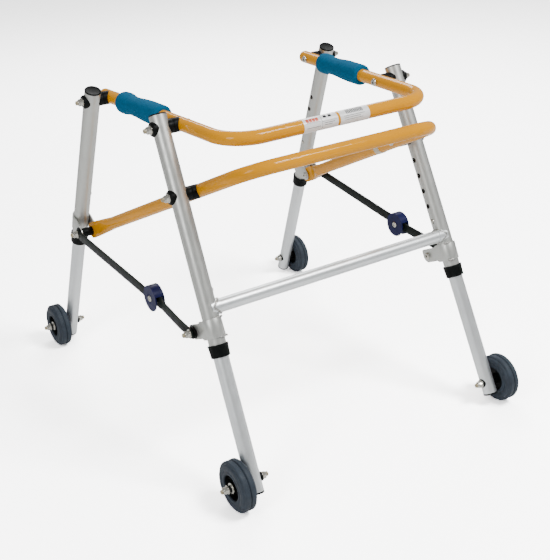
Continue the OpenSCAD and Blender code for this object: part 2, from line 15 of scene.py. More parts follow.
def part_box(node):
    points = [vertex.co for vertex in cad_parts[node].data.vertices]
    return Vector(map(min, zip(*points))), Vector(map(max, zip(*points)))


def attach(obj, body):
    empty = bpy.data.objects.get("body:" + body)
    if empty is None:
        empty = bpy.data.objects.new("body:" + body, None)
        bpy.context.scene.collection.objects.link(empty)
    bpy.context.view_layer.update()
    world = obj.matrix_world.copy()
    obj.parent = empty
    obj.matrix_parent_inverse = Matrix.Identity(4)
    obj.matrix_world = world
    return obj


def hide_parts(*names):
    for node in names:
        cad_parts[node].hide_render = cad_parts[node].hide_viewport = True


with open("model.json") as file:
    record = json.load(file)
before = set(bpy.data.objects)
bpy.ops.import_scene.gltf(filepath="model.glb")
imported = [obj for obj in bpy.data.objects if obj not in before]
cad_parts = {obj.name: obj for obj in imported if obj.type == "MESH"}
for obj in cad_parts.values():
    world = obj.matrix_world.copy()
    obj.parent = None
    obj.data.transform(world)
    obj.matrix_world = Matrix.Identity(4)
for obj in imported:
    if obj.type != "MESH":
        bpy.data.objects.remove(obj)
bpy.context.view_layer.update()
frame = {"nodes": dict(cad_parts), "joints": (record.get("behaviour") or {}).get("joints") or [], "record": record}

NODES = frame["nodes"]
JOINTS = {joint["name"]: joint for joint in frame["joints"]}
NODE_BODY = {
    node: body
    for body, nodes in frame["record"]["behaviour"]["bodies"].items()
    for node in nodes
}
SIDES = ("left", "right")
ENDS = ("front", "rear")
X_AXIS = Vector((1, 0, 0))

# Sizes that the frame's boxes don't give, the same as the CAD model's
TUBE_R = 0.010
BAR_R = 0.010
LEG_R = 0.0125
TYRE_BORE = 0.0190
RIM_LIP = 0.0186
AXLE_BORE_R = 0.00405
GRIP_BORE = 0.01002
CLAMP_HALF = 0.0135
CLAMP_MIDDLE = {"front": 0.2323, "rear": 0.2611}

# Rounding of the small CAD parts, and the angle in degrees from which an edge is hard
EDGE_ROUND = 0.0005
EDGE_ANGLE = 32

# Wheels: radii, and heights along the axle from the rim's inner end
SPOKES = 5
HUB_R = 0.0082
RIM_INNER_FACE = 0.0028
RIM_OUTER_FACE = 0.0208
WEB_TOP = 0.006
SPOKE_BASE = 0.0085
SPOKE_TOP = 0.0185
SPOKE_DIP = 0.0035

# Foam grips: radius at the waist, how much fuller each end is, and the round of the end faces
GRIP_WAIST = 0.0142
GRIP_REAR_SWELL = 0.0022
GRIP_FRONT_SWELL = 0.0024
GRIP_END_ROUND = 0.006

# Nuts: how far from a pivot its nut reaches, and how far the cap's base sits inside the nut's tip
NUT_REACH = 0.0085
CAP_DEPTH = 0.0036

# Weld beads: ripples are BEAD_STEPS points long
BEAD_STEPS = 6
BEAD_SIDES = 10
CROSSBAR_BEAD_R = 0.0020
CLAMP_BEAD_R = 0.0015
CLAMP_BEAD_HALF_ANGLE = 38

# Label: its two panels along the handle, and the angles in degrees that it covers
LABEL_PANELS = ((-0.0595, -0.0035), (0.0005, 0.0505))
LABEL_ANGLES = (-62, 112)
FILM_THICKNESS = 0.00024
INK_THICKNESS = 0.00006

# Camera: where it stands; azimuth, elevation and roll in degrees; lens and sensor in mm
CAMERA_PLACE = (-0.7983, -1.31385, 0.8921)
CAMERA_ANGLES = (-31.89, 25.32, -2.47)
CAMERA_LENS = 65.75
SENSOR_WIDTH = 36

# What lights the walker, and how much brighter the camera sees the backdrop and the floor.
# The floor's half size is in metres.
LIGHT_AIM = (0, 0, 0.25)
WORLD_LEVEL = 0.45
BACKDROP_LEVEL = 6.0
FLOOR_COLOUR = 0.86
FLOOR_SEEN = 5.0
FLOOR_HALF = 60


# ---- materials ----


class Shader:
    """A Principled material whose colour, roughness and bump come from procedural nodes."""

    def __init__(self, name, colour, roughness, **sockets):
        """Sets the constant sockets; an underscore in a socket's name stands for a space."""
        self.material = bpy.data.materials.new(name)
        self.material.use_nodes = True
        self.tree = self.material.node_tree
        self.bsdf = self.tree.nodes["Principled BSDF"]
        self.bsdf.inputs["Base Color"].default_value = (*colour, 1)
        self.bsdf.inputs["Roughness"].default_value = roughness
        for socket, value in sockets.items():
            self.bsdf.inputs[socket.replace("_", " ")].default_value = value
        self.colour = colour
        self.coordinates = self.add("ShaderNodeTexCoord").outputs["Object"]
        self.last_bump = None

    def add(self, kind, **settings):
        """Adds a node with its settings."""
        node = self.tree.nodes.new(kind)
        for key, value in settings.items():
            setattr(node, key, value)
        return node

    def link(self, output, target):
        """Joins an output to an input."""
        self.tree.links.new(output, target)

    def stretched(self, scale):
        """Object coordinates with a different scale along each axis."""
        mapping = self.add("ShaderNodeMapping")
        mapping.inputs["Scale"].default_value = scale
        self.link(self.coordinates, mapping.inputs["Vector"])
        return mapping.outputs["Vector"]

    def noise(self, scale, detail=4, roughness=0.55, stretch=None):
        """Fractal noise, stretched if a scale for each axis is given."""
        texture = self.add("ShaderNodeTexNoise")
        texture.inputs["Scale"].default_value = scale
        texture.inputs["Detail"].default_value = detail
        texture.inputs["Roughness"].default_value = roughness
        source = self.stretched(stretch) if stretch else self.coordinates
        self.link(source, texture.inputs["Vector"])
        return texture.outputs["Fac"]

    def cells(self, scale):
        """Distance to the middle of the nearest cell."""
        texture = self.add("ShaderNodeTexVoronoi")
        texture.inputs["Scale"].default_value = scale
        self.link(self.coordinates, texture.inputs["Vector"])
        return texture.outputs["Distance"]

    def ramp(self, factor, stops):
        """Colours a factor by (position, colour) stops."""
        ramp = self.add("ShaderNodeValToRGB")
        elements = ramp.color_ramp.elements
        while len(elements) < len(stops):
            elements.new(0.5)
        for element, (position, colour) in zip(elements, stops):
            element.position = position
            element.color = (*colour, 1)
        self.link(factor, ramp.inputs["Fac"])
        return ramp.outputs["Color"]

    def tint(self, factor, low, high):
        """Varies the base colour between two multiples of itself."""
        darker = [c * low for c in self.colour]
        lighter = [min(c * high, 1) for c in self.colour]
        varied = self.ramp(factor, [(0.3, darker), (0.7, lighter)])
        self.link(varied, self.bsdf.inputs["Base Color"])

    def vary_roughness(self, factor, low, high):
        """Varies the roughness between two values."""
        varied = self.ramp(factor, [(0.3, (low,) * 3), (0.7, (high,) * 3)])
        self.link(varied, self.bsdf.inputs["Roughness"])

    def bump(self, height, strength, distance):
        """Adds a layer of relief on top of the layers before it."""
        node = self.add("ShaderNodeBump")
        node.inputs["Strength"].default_value = strength
        node.inputs["Distance"].default_value = distance
        self.link(height, node.inputs["Height"])
        if self.last_bump:
            self.link(self.last_bump, node.inputs["Normal"])
        self.last_bump = node.outputs["Normal"]
        self.link(self.last_bump, self.bsdf.inputs["Normal"])


def aluminium(name, colour, roughness):
    """Satin aluminium with faint drawing lines along the tubes."""
    shader = Shader(name, colour, roughness, Metallic=0.85, Specular_IOR_Level=0.3)
    shader.tint(shader.noise(9, 6, 0.6), 0.93, 1.05)
    shader.vary_roughness(shader.noise(38, 5, 0.6, (6, 6, 0.5)), roughness - 0.05, roughness + 0.07)
    shader.bump(shader.noise(900, 3, 0.6, (1, 1, 0.06)), 0.10, 0.0002)
    shader.bump(shader.noise(2600, 2), 0.05, 0.0001)
    return shader.material


def yellow_coat():
    """Glossy powder coat with a little orange peel."""
    shader = Shader("yellow_coat", (0.70, 0.290, 0.0), 0.06, Specular_IOR_Level=0.20)
    shader.tint(shader.noise(14, 4), 0.94, 1.05)
    shader.vary_roughness(shader.noise(60, 4), 0.05, 0.10)
    shader.bump(shader.noise(420, 2), 0.04, 0.0003)
    return shader.material


def black_plastic():
    """Moulded black plastic with a fine spark texture."""
    shader = Shader("black_plastic", (0.003, 0.004, 0.004), 0.42, Specular_IOR_Level=0.08)
    shader.tint(shader.noise(120, 4), 0.7, 1.6)
    shader.vary_roughness(shader.noise(160, 4), 0.34, 0.52)
    shader.bump(shader.noise(1500, 3), 0.18, 0.0002)
    return shader.material


def black_steel():
    """Satin black coat on the flat brace bars, worn a little lighter in patches."""
    shader = Shader("black_steel", (0.006, 0.009, 0.008), 0.48, Specular_IOR_Level=0.10)
    shader.tint(shader.noise(55, 6, 0.65), 0.6, 1.9)
    shader.vary_roughness(shader.noise(90, 5), 0.32, 0.50)
    shader.bump(shader.noise(700, 4), 0.15, 0.0002)
    return shader.material


def zinc_steel():
    """Bright zinc plate, slightly warm, with fine turning marks."""
    shader = Shader("zinc_steel", (0.55, 0.54, 0.49), 0.22, Metallic=1.0)
    shader.tint(shader.noise(260, 4), 0.82, 1.12)
    shader.vary_roughness(shader.noise(420, 3), 0.16, 0.30)
    shader.bump(shader.noise(1800, 2, 0.5, (8, 1, 1)), 0.04, 0.0001)
    return shader.material


def nut_insert():
    """Cream plastic that closes the end of each lock nut."""
    shader = Shader("nut_insert", (0.34, 0.29, 0.18), 0.35, Subsurface_Weight=0.15)
    shader.bsdf.inputs["Subsurface Radius"].default_value = (0.002, 0.0015, 0.001)
    shader.tint(shader.noise(400, 4), 0.85, 1.12)
    shader.bump(shader.noise(1600, 3), 0.15, 0.0002)
    return shader.material


def navy_plastic():
    """Moulded navy plastic of the knee hubs."""
    shader = Shader("navy_plastic", (0.006, 0.008, 0.055), 0.26, Specular_IOR_Level=0.14)
    shader.tint(shader.noise(110, 5), 0.75, 1.35)
    shader.vary_roughness(shader.noise(140, 4), 0.28, 0.46)
    shader.bump(shader.noise(1300, 3), 0.14, 0.0002)
    return shader.material


def blue_foam():
    """Closed-cell foam: matt, with pores and a soft sheen."""
    sheen = {"Sheen_Weight": 0.06, "Sheen_Roughness": 0.5}
    shader = Shader("blue_foam", (0.0, 0.098, 0.205), 0.9, Specular_IOR_Level=0.15, **sheen)
    shader.bsdf.inputs["Sheen Tint"].default_value = (0.2, 0.55, 0.75, 1)
    shader.tint(shader.noise(420, 6, 0.7), 0.72, 1.25)
    shader.bump(shader.cells(1500), 0.55, 0.0005)
    shader.bump(shader.noise(650, 5, 0.65), 0.35, 0.0006)
    return shader.material


def grey_tyre():
    """Solid grey rubber with dust in its pores and a fine moulding grain."""
    shader = Shader("grey_tyre", (0.024, 0.034, 0.048), 0.6, Specular_IOR_Level=0.3)
    shader.tint(shader.noise(70, 6, 0.65), 0.75, 1.30)
    shader.vary_roughness(shader.noise(150, 4), 0.50, 0.68)
    shader.bump(shader.noise(1100, 4, 0.6), 0.22, 0.0003)
    return shader.material


def label_paper():
    """White printed film with a glossy face."""
    shader = Shader("label_paper", (0.86, 0.86, 0.85), 0.25, Coat_Weight=0.4)
    shader.tint(shader.noise(60, 3), 0.96, 1.03)
    shader.bump(shader.noise(300, 2), 0.06, 0.0002)
    return shader.material


def label_ink(name, colour):
    """Printed ink, a little uneven."""
    shader = Shader(name, colour, 0.3)
    shader.tint(shader.noise(500, 3), 0.85, 1.15)
    return shader.material


def milky_film():
    """Cloudy clear film of the bands: it lets some of the paint show through."""
    shader = Shader("milky_film", (0.62, 0.54, 0.38), 0.25, Alpha=0.8, Coat_Weight=0.3)
    shader.tint(shader.noise(80, 5), 0.88, 1.1)
    shader.bump(shader.noise(150, 3, 0.5, (1, 5, 1)), 0.25, 0.0004)
    return shader.material


def weld_metal():
    """Weld bead, a little darker and more uneven than the tube."""
    shader = Shader("weld_metal", (0.46, 0.46, 0.44), 0.36, Metallic=0.95)
    shader.tint(shader.noise(600, 6, 0.7), 0.55, 1.15)
    shader.vary_roughness(shader.noise(500, 4), 0.25, 0.55)
    shader.bump(shader.noise(900, 5), 0.35, 0.0003)
    return shader.material


SLOT_MATERIAL = {
    "anodised_tube": aluminium("anodised_tube", (0.56, 0.57, 0.545), 0.40),
    "yellow_coat": yellow_coat(),
    "black_plastic": black_plastic(),
    "black_steel": black_steel(),
    "zinc_steel": zinc_steel(),
    "navy_plastic": navy_plastic(),
    "blue_foam": blue_foam(),
    "grey_tyre": grey_tyre(),
    "label_film": label_paper(),
    "clear_band": milky_film(),
}
# A lighter copy of the tube aluminium for the crossbar and the lower legs: a painted highlight where these tubes
# catch the light, and partly a brighter polish of the lower legs.
POLISH_AND_HIGHLIGHT_TUBE = aluminium("polish_and_painted_highlight_tube", (0.80, 0.83, 0.84), 0.36)
POLISH_AND_HIGHLIGHT_NODES = ("crossbar", "lower_leg")
INSERT = nut_insert()
WELD = weld_metal()
NODE_SLOT = {part["node"]: part["material_slot"] for part in frame["record"]["subparts"]}


# ---- mesh tools ----


def piece_from(name, mesh_builder, material, body, replaces=()):
    """Turns a bmesh into a piece that rides on a body and may stand for CAD nodes."""
    mesh = bpy.data.meshes.new(name)
    bmesh.ops.recalc_face_normals(mesh_builder, faces=mesh_builder.faces)
    mesh_builder.to_mesh(mesh)
    mesh_builder.free()
    piece = bpy.data.objects.new(name, mesh)
    bpy.context.scene.collection.objects.link(piece)
    mesh.materials.append(material)
    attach(piece, body)
    if replaces:
        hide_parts(*replaces)
    return piece


def smooth_by_angle(piece, degrees=35):
    """Shades a mesh smooth but keeps the edges sharper than the angle."""
    mesh = piece.data
    mesh.shade_smooth()
    builder = bmesh.new()
    builder.from_mesh(mesh)
    limit = math.radians(degrees)
    for edge in builder.edges:
        edge.smooth = len(edge.link_faces) != 2 or edge.calc_face_angle(0) < limit
    builder.to_mesh(mesh)
    builder.free()


def frame_along(centre, direction, up=X_AXIS):
    """Matrix whose Z runs along direction and whose X leans towards up."""
    z = Vector(direction).normalized()
    x = (up - up.dot(z) * z).normalized()
    y = z.cross(x)
    matrix = Matrix((x, y, z)).transposed().to_4x4()
    matrix.translation = centre
    return matrix


def lathe(profile, matrix, steps=96, closed=True):
    """Turns (radius, height) points round Z.

    A closed profile gives a ring; an open one starts and ends on Z.
    """
    builder = bmesh.new()
    rings = []
    for radius, height in profile:
        if radius < 1e-7:
            rings.append([builder.verts.new((0, 0, height))])
            continue
        ring = []
        for i in range(steps):
            a = 2 * math.pi * i / steps
            ring.append(builder.verts.new((radius * math.cos(a), radius * math.sin(a), height)))
        rings.append(ring)
    pairs = list(zip(rings, rings[1:]))
    if closed:
        pairs.append((rings[-1], rings[0]))
    for low, high in pairs:
        for i in range(steps):
            j = (i + 1) % steps
            corners = [low[i % len(low)], low[j % len(low)]]
            corners += [high[j % len(high)], high[i % len(high)]]
            unique = list(dict.fromkeys(corners))
            if len(unique) > 2:
                builder.faces.new(unique)
    builder.transform(matrix)
    return builder


def rounded(points, radius, steps=4):
    """Replaces each corner of an open outline with a short arc."""
    out = [Vector(points[0])]
    for before, corner, after in zip(points, points[1:], points[2:]):
        b, c, a = Vector(before), Vector(corner), Vector(after)
        reach = min(radius, (b - c).length * 0.45, (a - c).length * 0.45)
        start = c + (b - c).normalized() * reach
        stop = c + (a - c).normalized() * reach
        for i in range(steps + 1):
            t = i / steps
            out.append(start * (1 - t) ** 2 + c * 2 * t * (1 - t) + stop * t**2)
    out.append(Vector(points[-1]))
    return [tuple(p) for p in out]


def points_of(node):
    """All vertices of a CAD node, one row each."""
    data = NODES[node].data
    points = np.empty(len(data.vertices) * 3, np.float32)
    data.vertices.foreach_get("co", points)
    return points.reshape(-1, 3).astype(float)


def tube_axis(node):
    """Centre, direction and length of a CAD node that is a straight round tube."""
    points = points_of(node)
    centre = (points.min(0) + points.max(0)) / 2
    _, _, rows = np.linalg.svd(points - points.mean(0), full_matrices=False)
    along = rows[0] * (1 if rows[0][2] + rows[0][1] > 0 else -1)
    spread = (points - centre) @ along
    middle = centre + along * (spread.max() + spread.min()) / 2
    return Vector(middle), Vector(along), float(np.ptp(spread))


def softened(node):
    """A copy of a CAD node with its hard edges rounded, which stands for the node."""
    source = NODES[node]
    builder = bmesh.new()
    builder.from_mesh(source.data)
    bmesh.ops.remove_doubles(builder, verts=builder.verts, dist=2e-6)
    piece = piece_from(
        f"{node}_shell",
        builder,
        SLOT_MATERIAL[NODE_SLOT[node]],
        NODE_BODY[node],
        [node],
    )
    bevel = piece.modifiers.new("edges", "BEVEL")
    bevel.width = EDGE_ROUND
    bevel.segments = 2
    bevel.limit_method = "ANGLE"
    bevel.angle_limit = math.radians(EDGE_ANGLE)
    with bpy.context.temp_override(object=piece, active_object=piece, selected_objects=[piece]):
        bpy.ops.object.modifier_apply(modifier=bevel.name)
    smooth_by_angle(piece)


# ---- finish of the CAD nodes ----

# The CAD nodes whose hard edges are rounded, by the start of their names
SOFTENED_KINDS = (
    "front_clamp",
    "rear_clamp",
    "front_fittings",
    "rear_fittings",
    "front_bolts",
    "rear_bolts",
    "brace_",
    "knee_",
    "axle_",
    "foot_",
    "handle_bolts",
    "handle_fittings",
    "guard_fittings",
)


def finish_nodes():
    """Gives every CAD node the material of its slot, but a lighter copy of the aluminium to the crossbar and lower
    legs: painted highlight, and partly a brighter polish of the lower legs.
    """
    for name, node in NODES.items():
        material = POLISH_AND_HIGHLIGHT_TUBE if name.startswith(POLISH_AND_HIGHLIGHT_NODES) else SLOT_MATERIAL[NODE_SLOT[name]]
        node.data.materials.clear()
        node.data.materials.append(material)


# ---- wheels ----


def make_tyre(end, side):
    """Solid tyre: bead ring, sidewall, stepped shoulder, and a groove between two tread bands."""
    node = f"tyre_{end}_{side}"
    low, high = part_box(node)
    radius = (high.z - low.z) / 2
    half = (high.x - low.x) / 2
    bore = TYRE_BORE
    outline = [
        (bore, 0.6 * half),
        (bore, 0.93 * half),
        (bore + 0.0008, 0.96 * half),
        (bore + 0.0034, 0.96 * half),
        (bore + 0.0042, 0.91 * half),
        (bore + 0.0052, 0.91 * half),
        (bore + 0.0075, 0.975 * half),
        (radius - 0.0085, 1.0 * half),
        (radius - 0.0048, 0.93 * half),
        (radius - 0.0036, 0.76 * half),
        (radius - 0.0012, 0.72 * half),
        (radius, 0.60 * half),
        (radius, 0.16 * half),
        (radius - 0.0004, 0.10 * half),
        (radius - 0.0018, 0.045 * half),
        (radius - 0.0019, 0.0),
    ]
    upper = rounded(outline, 0.0009, 5)
    profile = upper + [(r, -h) for r, h in reversed(upper[:-1])]
    centre = (low + high) / 2
    piece = piece_from(
        f"tyre_body_{end}_{side}",
        lathe(profile, frame_along(centre, X_AXIS, Vector((0, 0, 1))), 144),
        SLOT_MATERIAL["grey_tyre"],
        NODE_BODY[node],
        [node],
    )
    smooth_by_angle(piece, 50)


def make_rim(end, side):
    """Moulded rim: a barrel under the tyre, a recessed web, five tapered spokes and a long hub."""
    node = f"rim_{end}_{side}"
    low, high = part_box(node)
    outer = (high.z - low.z) / 2
    sign = 1 if side == "left" else -1
    inner_x = low.x if side == "left" else high.x
    centre = Vector((inner_x, (low.y + high.y) / 2, (low.z + high.z) / 2))
    depth = high.x - low.x
    matrix = frame_along(centre, X_AXIS * sign, Vector((0, 0, 1)))
    profile = [
        (AXLE_BORE_R, 0.0004),
        (HUB_R, 0.0004),
        (HUB_R, WEB_TOP),
        (RIM_LIP, WEB_TOP),
        (RIM_LIP, RIM_INNER_FACE),
        (outer, RIM_INNER_FACE),
        (outer, RIM_OUTER_FACE),
        (RIM_LIP, RIM_OUTER_FACE),
        (RIM_LIP - 0.0012, 0.0120),
        (HUB_R + 0.0015, 0.0095),
        (HUB_R, 0.0120),
        (HUB_R - 0.0006, depth),
        (AXLE_BORE_R, depth),
    ]
    outline = rounded(profile + profile[:1], 0.0005, 3)[:-1]
    builder = lathe(outline, Matrix.Identity(4), 96)
    for i in range(SPOKES):
        add_spoke(builder, 2 * math.pi * i / SPOKES, HUB_R - 0.0008, RIM_LIP + 0.0002)
    builder.transform(matrix)
    piece = piece_from(
        f"rim_body_{end}_{side}",
        builder,
        SLOT_MATERIAL["black_plastic"],
        NODE_BODY[node],
        [node],
    )
    smooth_by_angle(piece, 40)


def add_spoke(builder, angle, start, stop):
    """A rib that tapers outward and dips in the middle, standing on the web of the rim."""
    steps = 10
    rings = []
    for i in range(steps + 1):
        t = i / steps
        r = start + (stop - start) * t
        wide = 0.0013 - 0.0004 * t
        top = SPOKE_TOP - SPOKE_DIP * math.sin(math.pi * t)
        shoulder = top - 0.0003
        section = [
            (-wide, SPOKE_BASE),
            (-wide * 0.8, shoulder),
            (0, top),
            (wide * 0.8, shoulder),
            (wide, SPOKE_BASE),
        ]
        ring = []
        for across, height in section:
            x = r * math.cos(angle) - across * math.sin(angle)
            y = r * math.sin(angle) + across * math.cos(angle)
            ring.append(builder.verts.new((x, y, height)))
        rings.append(ring)
    for low, high in zip(rings, rings[1:]):
        for j in range(len(low)):
            k = (j + 1) % len(low)
            builder.faces.new((low[j], low[k], high[k], high[j]))
    builder.faces.new(rings[0])
    builder.faces.new(list(reversed(rings[-1])))


# ---- grips ----


def swell(distance, flat, far):
    """Falls smoothly from 1 to 0 as the distance goes from flat to far."""
    t = min(max((distance - flat) / (far - flat), 0), 1)
    return 1 - t * t * (3 - 2 * t)


def make_grip(side):
    """Foam sleeve, fuller at its ends than at its waist, and a little uneven."""
    node = f"grip_{side}"
    centre, along, length = tube_axis(node)
    half = length / 2
    profile = []
    rows = 120
    for i in range(rows + 1):
        z = -half + length * i / rows
        radius = GRIP_WAIST + GRIP_REAR_SWELL * swell(half + z, 0.035, 0.086)
        radius += GRIP_FRONT_SWELL * swell(abs(half - z - 0.011), 0.003, 0.022)
        edge = half - abs(z)
        if edge < GRIP_END_ROUND:
            rise = 1 - ((GRIP_END_ROUND - edge) / GRIP_END_ROUND) ** 2
            radius -= 0.0042 * (1 - math.sqrt(max(0, rise)))
        profile.append((radius, z))
    ends = [(GRIP_BORE, half - 0.0006), (GRIP_BORE, -half + 0.0006)]
    builder = lathe(profile + ends, Matrix.Identity(4), 120)
    seed = Vector((3.1, 7.7, 1.3)) * (1 if side == "left" else 2)
    for vertex in builder.verts:
        radius = math.hypot(vertex.co.x, vertex.co.y)
        if radius < GRIP_BORE + 0.001:
            continue
        wave = noise.noise(vertex.co * 38 + seed) * 0.00040
        wave += noise.noise(vertex.co * 150 + seed) * 0.00012
        factor = 1 + wave / radius
        vertex.co.x *= factor
        vertex.co.y *= factor
    builder.transform(frame_along(centre, along))
    piece = piece_from(
        f"grip_foam_{side}", builder, SLOT_MATERIAL["blue_foam"], "handle", [node]
    )
    smooth_by_angle(piece, 60)


# ---- nuts, inserts and welds ----


def outermost(node, y, z, sign):
    """How far a node reaches along X, towards the sign, near the line through y and z."""
    points = points_of(node)
    near = np.hypot(points[:, 1] - y, points[:, 2] - z) < NUT_REACH
    return float((points[near, 0] * sign).max()) * sign


def make_insert(name, body, tip, y, z, sign):
    """Cream cap that closes the end of a lock nut and stands just proud of its tip."""
    outline = [(0, 0), (0.0033, 0), (0.0034, 0.0024), (0.0029, 0.0033), (0.0017, 0.0037)]
    profile = rounded([*outline, (0, 0.0038)], 0.0008, 5)
    base = Vector((tip - sign * CAP_DEPTH, y, z))
    piece = piece_from(
        name,
        lathe(profile, frame_along(base, X_AXIS * sign, Vector((0, 0, 1))), 40, closed=False),
        INSERT,
        body,
    )
    smooth_by_angle(piece, 50)


def middle_of(node):
    """The Y and Z of the middle of a CAD node."""
    low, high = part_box(node)
    return (low.y + high.y) / 2, (low.z + high.z) / 2


def make_inserts():
    """A cap in every lock nut: at the pivots of both sides and at both ends of the axles."""
    for side in SIDES:
        sign = 1 if side == "left" else -1
        places = {
            "handle_rear": (f"rear_bolts_{side}", middle_of("handle_bolts")),
            "handle_front": ("front_bolts", JOINTS["handle_fold"]["pos_m"][1:]),
            "guard_front": ("front_bolts", JOINTS["fold"]["pos_m"][1:]),
            "brace_rear": (f"rear_bolts_{side}", JOINTS[f"rear_fold_{side}"]["pos_m"][1:]),
            "brace_front": (f"brace_nut_{side}", middle_of(f"brace_nut_{side}")),
        }
        for place, (node, (y, z)) in places.items():
            tip = outermost(node, y, z, sign)
            make_insert(f"insert_{place}_{side}", NODE_BODY[node], tip, y, z, sign)
        for end in ENDS:
            node = f"axle_{end}_{side}"
            low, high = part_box(node)
            y, z = middle_of(node)
            for x, way in ((low.x, -1), (high.x, 1)):
                where = "out" if way == sign else "in"
                make_insert(f"insert_axle_{where}_{end}_{side}", NODE_BODY[node], x, y, z, way)


def make_bead(name, path, body, radius, closed=True):
    """Weld bead: a tube along a path whose thickness ripples, once for each drop of metal."""
    builder = bmesh.new()
    count = len(path)
    rings = []
    for i, point in enumerate(path):
        before = path[i - 1] if closed or i else path[0]
        after = path[(i + 1) % count] if closed or i + 1 < count else path[-1]
        matrix = frame_along(point, (after - before), Vector((0.3, 0.5, 0.8)))
        thick = radius * (0.82 + 0.22 * abs(math.sin(i * math.pi / BEAD_STEPS)))
        thick *= 1 + 0.12 * noise.noise(point * 900)
        ring = []
        for j in range(BEAD_SIDES):
            a = 2 * math.pi * j / BEAD_SIDES
            corner = Vector((thick * math.cos(a), thick * math.sin(a), 0))
            ring.append(builder.verts.new(matrix @ corner))
        rings.append(ring)
    pairs = list(zip(rings, rings[1:]))
    if closed:
        pairs.append((rings[-1], rings[0]))
    else:
        builder.faces.new(rings[0])
        builder.faces.new(rings[-1])
    for low, high in pairs:
        for j in range(BEAD_SIDES):
            k = (j + 1) % BEAD_SIDES
            builder.faces.new((low[j], low[k], high[k], high[j]))
    piece = piece_from(name, builder, WELD, body)
    smooth_by_angle(piece, 80)


def make_crossbar_welds():
    """A bead where each end of the crossbar meets its leg."""
    low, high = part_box("crossbar")
    centre = (low + high) / 2
    for side in SIDES:
        sign = 1 if side == "left" else -1
        leg_point, leg_way, _ = tube_axis(f"front_leg_{side}")
        path = []
        count = BEAD_STEPS * 14
        for i in range(count):
            a = 2 * math.pi * i / count
            spot = Vector((0, centre.y + BAR_R * math.cos(a), centre.z + BAR_R * math.sin(a)))
            path.append(meet_leg(spot, leg_point, leg_way, sign))
        make_bead(f"crossbar_weld_{side}", path, "front_frame", CROSSBAR_BEAD_R)


def meet_leg(spot, leg_point, leg_way, sign):
    """Where a line along X through spot first meets the leg's surface, coming from the middle."""
    across = X_AXIS - X_AXIS.dot(leg_way) * leg_way
    offset = spot - leg_point
    offset = offset - offset.dot(leg_way) * leg_way
    a, b, c = across.dot(across), 2 * across.dot(offset), offset.dot(offset) - LEG_R**2
    root = math.sqrt(max(b * b - 4 * a * c, 0))
    x = (-b - sign * root) / (2 * a)
    return spot + X_AXIS * x


def make_clamp_welds():
    """Short beads above and below each bracket, on the side of the leg that the bracket wraps."""
    count = BEAD_STEPS * 5
    r = LEG_R + 0.0009
    for end in ENDS:
        for side in SIDES:
            clamp = f"{end}_clamp_{side}"
            leg_point, leg_way, _ = tube_axis(f"{end}_leg_{side}")
            centre = leg_point + leg_way * ((CLAMP_MIDDLE[end] - leg_point.z) / leg_way.z)
            outward = Vector((0, -1 if end == "front" else 1, 0))
            matrix = frame_along(centre, leg_way, outward)
            for where, height in (("top", CLAMP_HALF), ("bottom", -CLAMP_HALF)):
                path = []
                for i in range(count + 1):
                    a = math.radians(CLAMP_BEAD_HALF_ANGLE * (2 * i / count - 1))
                    path.append(matrix @ Vector((r * math.cos(a), r * math.sin(a), height)))
                name = f"{clamp}_weld_{where}"
                make_bead(name, path, NODE_BODY[clamp], CLAMP_BEAD_R, closed=False)


# ---- label ----


def curved_block(builder, x0, x1, a0, a1, bottom, top, centre):
    """A thin block wrapped on a tube along X, from a0 to a1 degrees up from the front."""
    steps = max(2, int(abs(a1 - a0) / 4))
    rings = []
    for i in range(steps + 1):
        a = math.radians(a0 + (a1 - a0) * i / steps)
        ring = []
        for x, r in ((x0, bottom), (x1, bottom), (x1, top), (x0, top)):
            corner = (x, centre.y - r * math.cos(a), centre.z + r * math.sin(a))
            ring.append(builder.verts.new(corner))
        rings.append(ring)
    for low, high in zip(rings, rings[1:]):
        for j in range(4):
            k = (j + 1) % 4
            builder.faces.new((low[j], low[k], high[k], high[j]))
    builder.faces.new(rings[0])
    builder.faces.new(rings[-1])


def make_label():
    """Two film panels round the front of the handle, printed with blocks, lines and bars."""
    low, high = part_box("handle_loop")
    centre = Vector((0, low.y + TUBE_R, high.z - TUBE_R))
    film = TUBE_R + FILM_THICKNESS
    print_top = film + INK_THICKNESS
    builder = bmesh.new()
    for x0, x1 in LABEL_PANELS:
        curved_block(builder, x0, x1, *LABEL_ANGLES, TUBE_R + 0.00003, film, centre)
    piece = piece_from(
        "label_film", builder, SLOT_MATERIAL["label_film"], "handle", ["label"]
    )
    smooth_by_angle(piece, 30)

    inks = {
        "orange": label_ink("ink_orange", (0.62, 0.07, 0.02)),
        "grey": label_ink("ink_grey", (0.07, 0.07, 0.08)),
        "dark": label_ink("ink_dark", (0.012, 0.012, 0.015)),
    }
    blocks = {"orange": [], "grey": [], "dark": []}
    left = LABEL_PANELS[0][0]
    for i in range(4):
        x = left + 0.0045 + i * 0.0052
        blocks["orange"].append((x, x + 0.0045, 36, 70))
    blocks["grey"] += [
        (left + 0.004, left + 0.0265, 30, 32),
        (left + 0.004, left + 0.0265, -8, -4),
        (left + 0.0290, left + 0.0294, -45, 100),
        (left + 0.0290, left + 0.0535, 22, 24),
        (left + 0.0325, left + 0.0500, 8, 12),
        (left + 0.0325, left + 0.0460, -6, -2),
    ]
    blocks["dark"] += [
        (left + 0.0335, left + 0.0385, 52, 78),
        (left + 0.0415, left + 0.0465, 52, 78),
    ]
    right = LABEL_PANELS[1][0]
    x = right + 0.011
    for i in range(17):
        width = 0.00065 + 0.00035 * ((i * 7) % 3)
        blocks["dark"].append((x, x + width, 40, 88))
        x += width + 0.0005 + 0.00025 * ((i * 5) % 3)
    blocks["grey"] += [
        (right + 0.006, right + 0.041, 24, 27),
        (right + 0.006, right + 0.034, 10, 13),
        (right + 0.006, right + 0.038, -6, -3),
    ]
    for ink, material in inks.items():
        builder = bmesh.new()
        for x0, x1, a0, a1 in blocks[ink]:
            curved_block(builder, x0, x1, a0, a1, film - 0.00002, print_top, centre)
        print_piece = piece_from(f"label_print_{ink}", builder, material, "handle")
        smooth_by_angle(print_piece, 30)


# ---- camera, light and floor ----


